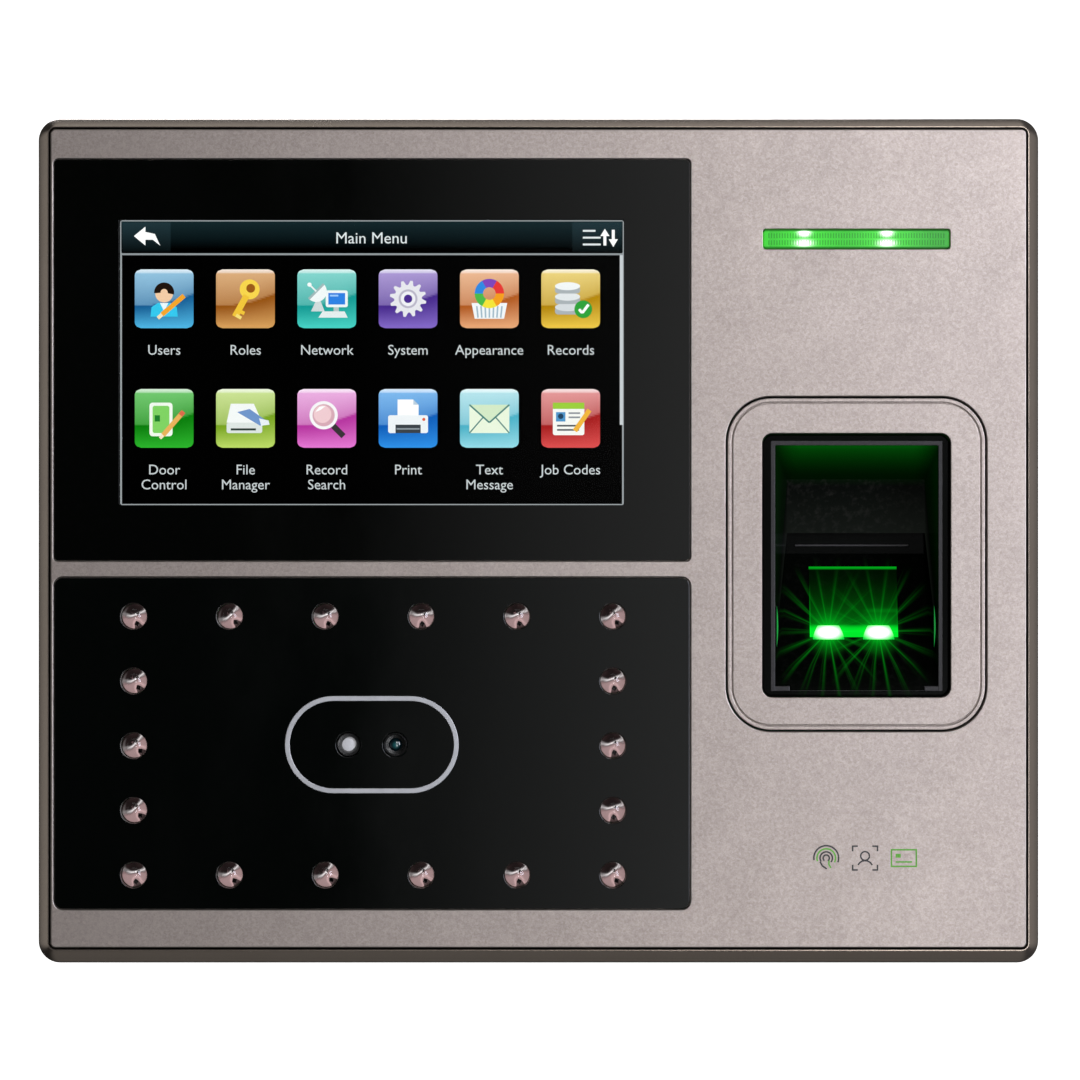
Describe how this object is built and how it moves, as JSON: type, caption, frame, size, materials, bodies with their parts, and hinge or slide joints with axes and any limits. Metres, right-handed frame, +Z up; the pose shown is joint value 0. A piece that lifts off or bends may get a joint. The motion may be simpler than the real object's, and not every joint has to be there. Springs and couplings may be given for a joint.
{
  "type": "fingerprint scanner terminal",
  "caption": "Wall access terminal with touch screen, face cameras in an infrared lamp field, finger well with optical reader, and a hook-on wall plate.",
  "frame": {"origin": "middle of the wall plate's back face, on the wall's surface", "axes": "+X to the viewer's right, +Y into the wall, +Z up; the face looks towards -Y and leans back 15 degrees"},
  "size_m": [0.1936, 0.0857, 0.1628],
  "materials": {
    "champagne_paint": "satin metallic paint with a fine sparkle",
    "bronze_paint": "satin metallic bronze paint",
    "case_plastic": "fine spark-eroded texture",
    "cover_glass": "polished, black ink border behind",
    "window_acrylic": "polished black, passes infrared",
    "screen": "lit colour display",
    "gloss_black": "high gloss",
    "silver_trim": "satin silver",
    "clear_resin": "clear cast lamp",
    "green_light": "lit translucent green",
    "sensor_glass": "polished optical glass, lit green",
    "circuit_board": "solder mask",
    "terminal_plastic": "moulded",
    "zinc_steel": "bright zinc plate",
    "connector_shell": "tinned sheet",
    "soft_rubber": "matt",
    "film": "flexible amber film"
  },
  "bodies": {
    "wall_mount": {"wall_plate": "zinc_steel", "security_screw": "zinc_steel"},
    "terminal": {"front_cover": "champagne_paint", "fingerprint_bezel": "champagne_paint", "side_frame": "bronze_paint", "rear_case": "case_plastic", "power_jack": "case_plastic", "tamper_switch": "case_plastic", "speaker": "case_plastic", "touch_glass": "cover_glass", "camera_window": "window_acrylic", "lcd_module": "screen", "sensor_housing": "gloss_black", "infrared_camera": "gloss_black", "visible_camera": "gloss_black", "camera_ring": "silver_trim", "ir_led_01": "clear_resin", "ir_led_02": "clear_resin", "ir_led_03": "clear_resin", "ir_led_04": "clear_resin", "ir_led_05": "clear_resin", "ir_led_06": "clear_resin", "ir_led_07": "clear_resin", "ir_led_08": "clear_resin", "ir_led_09": "clear_resin", "ir_led_10": "clear_resin", "ir_led_11": "clear_resin", "ir_led_12": "clear_resin", "ir_led_13": "clear_resin", "ir_led_14": "clear_resin", "ir_led_15": "clear_resin", "ir_led_16": "clear_resin", "ir_led_17": "clear_resin", "ir_led_18": "clear_resin", "light_pipe": "green_light", "indicator_led_left": "green_light", "indicator_led_right": "green_light", "sensor_led_left": "green_light", "sensor_led_right": "green_light", "sensor_prism": "sensor_glass", "led_board": "circuit_board", "indicator_board": "circuit_board", "sensor_board": "circuit_board", "main_board": "circuit_board", "io_board": "circuit_board", "terminal_block_upper": "terminal_plastic", "terminal_block_lower": "terminal_plastic", "case_screw_1": "zinc_steel", "case_screw_2": "zinc_steel", "case_screw_3": "zinc_steel", "case_screw_4": "zinc_steel", "ethernet_port": "connector_shell", "usb_port": "connector_shell", "clock_battery": "connector_shell", "screen_gasket": "soft_rubber", "lcd_ribbon": "film", "board_ribbon": "film"},
    "tamper": {"tamper_plunger": "case_plastic"},
    "reset": {"reset_button": "case_plastic"},
    "usb_flap": {"usb_cover": "soft_rubber"}
  },
  "joints": [
    {"name": "lift_off", "type": "slide", "parent": "wall_mount", "child": "terminal", "axis": [0, 0, 1], "range_m": [0, 0.007]},
    {"name": "tamper_press", "type": "slide", "parent": "terminal", "child": "tamper", "axis": [0, -1, 0], "range_m": [0, 0.0012], "stiffness_N_per_m": 150, "springref_m": -0.001},
    {"name": "reset_press", "type": "slide", "parent": "terminal", "child": "reset", "axis": [0, -1, 0], "range_m": [0, 0.0004], "stiffness_N_per_m": 400, "springref_m": -0.0005},
    {"name": "usb_cover_swing", "type": "hinge", "parent": "terminal", "child": "usb_flap", "pos_m": [-0.075, -0.0364, -0.013], "axis": [0, 1, 0], "range_deg": [0, 110]}
  ]
}
